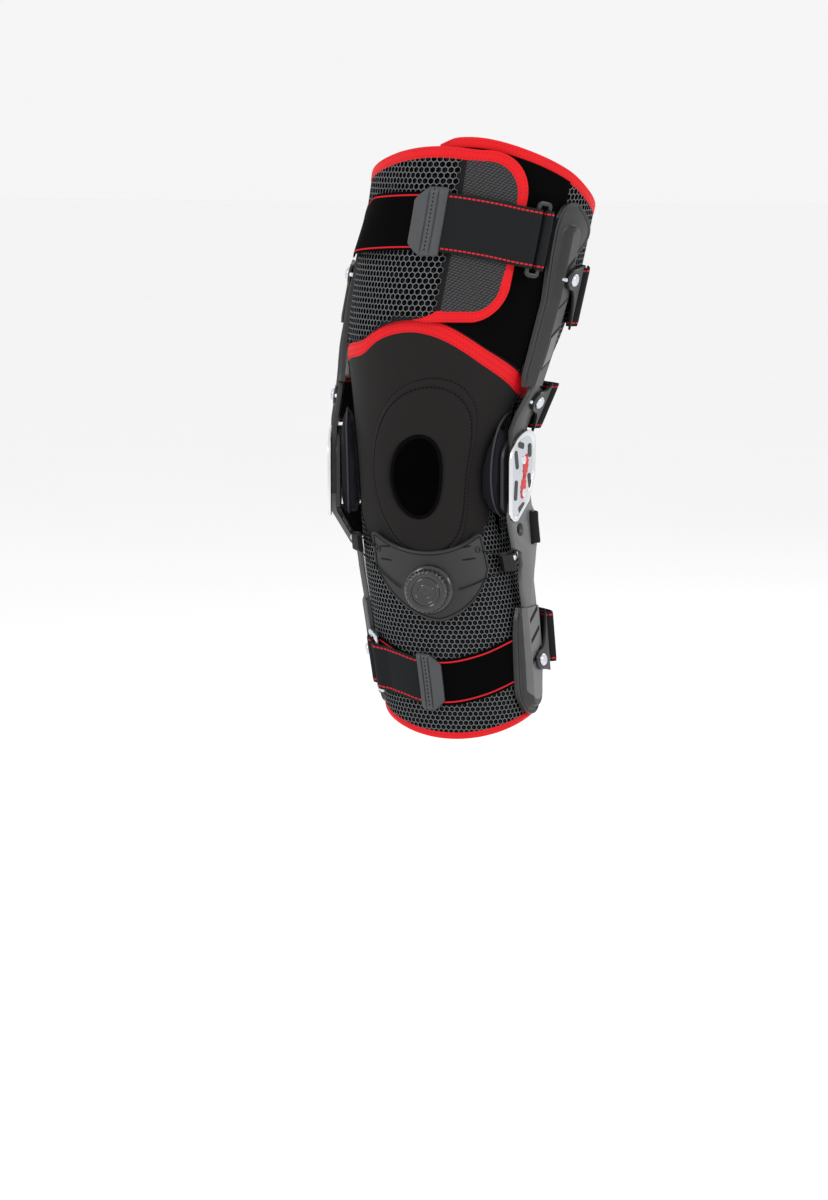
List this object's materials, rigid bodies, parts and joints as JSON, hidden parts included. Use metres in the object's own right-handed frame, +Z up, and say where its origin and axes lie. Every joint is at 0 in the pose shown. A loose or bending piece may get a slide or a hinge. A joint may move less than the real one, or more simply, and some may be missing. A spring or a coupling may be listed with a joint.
{
  "type": "hinged knee ligament brace",
  "caption": "Hinged knee brace for a left leg: mesh thigh wrap with front flap, neoprene knee panel with patella hole, calf sleeve, side bars, straps and a lace dial.",
  "frame": {"origin": "middle of the knee, between the two side hinges, in the hollow where the leg goes", "axes": "+Z up along the leg, -Y the front of the knee, +X the outer (lateral) side of a left leg"},
  "size_m": [0.2188, 0.1927, 0.4723],
  "materials": {
    "mesh": "black spacer mesh with grey honeycomb threads",
    "red": "red woven binding tape",
    "velour": "black loop velour",
    "neoprene": "matt black laminated neoprene",
    "webbing": "black webbing with red edge stitching",
    "rubber": "dark grey moulded rubber",
    "plastic": "charcoal satin plastic",
    "bar": "grey anodised bar",
    "silver": "polished hinge cover",
    "steel": "bright rivets and wire ring",
    "pad": "black fabric over foam",
    "plate": "charcoal flexible plate",
    "dial": "smoky dark dial",
    "lace": "dark braided lace"
  },
  "bodies": {
    "brace": {"thigh_wrap": "mesh", "wrap_binding": "red", "loop_panel": "velour", "knee_tape": "red", "knee_panel": "neoprene", "patella_ring": "neoprene", "calf_sleeve": "mesh", "calf_binding": "red", "thigh_strap": "webbing", "thigh_ring": "plastic", "thigh_ring_tab": "webbing", "thigh_tab": "rubber", "calf_strap": "webbing", "calf_ring": "steel", "calf_ring_tab": "webbing", "calf_tab": "rubber", "lateral_upper_bar": "bar", "lateral_upper_shell": "plastic", "lateral_lower_bar": "bar", "lateral_lower_shell": "plastic", "lateral_hinge_case": "plastic", "lateral_hinge_cover": "silver", "lateral_condyle_pad": "pad", "lateral_thigh_bracket": "plastic", "lateral_thigh_rivet": "steel", "lateral_knee_bracket": "plastic", "lateral_knee_rivet": "steel", "lateral_calf_bracket": "plastic", "lateral_calf_rivet": "steel", "medial_upper_bar": "bar", "medial_upper_shell": "plastic", "medial_lower_bar": "bar", "medial_lower_shell": "plastic", "medial_hinge_case": "plastic", "medial_hinge_cover": "silver", "medial_condyle_pad": "pad", "medial_thigh_bracket": "plastic", "medial_thigh_rivet": "steel", "medial_knee_bracket": "plastic", "medial_knee_rivet": "steel", "medial_calf_bracket": "plastic", "medial_calf_rivet": "steel", "thigh_back_strap": "webbing", "knee_back_strap": "webbing", "calf_back_strap": "webbing", "calf_upper_back_strap": "webbing", "tendon_plate": "plate", "dial_base": "dial", "lace_lateral": "lace", "lace_guide_lateral": "plastic", "lace_medial": "lace", "lace_guide_medial": "plastic"},
    "hub": {"dial_hub": "dial"},
    "knob": {"dial_grip": "dial"}
  },
  "joints": [
    {"name": "dial_release", "type": "slide", "parent": "brace", "child": "hub", "axis": [0.069, -0.9976, 0], "range_m": [0, 0.0025]},
    {"name": "dial_turn", "type": "hinge", "parent": "hub", "child": "knob", "pos_m": [0.01612, -0.0594, -0.086], "axis": [0.069, -0.9976, 0], "continuous": true}
  ]
}
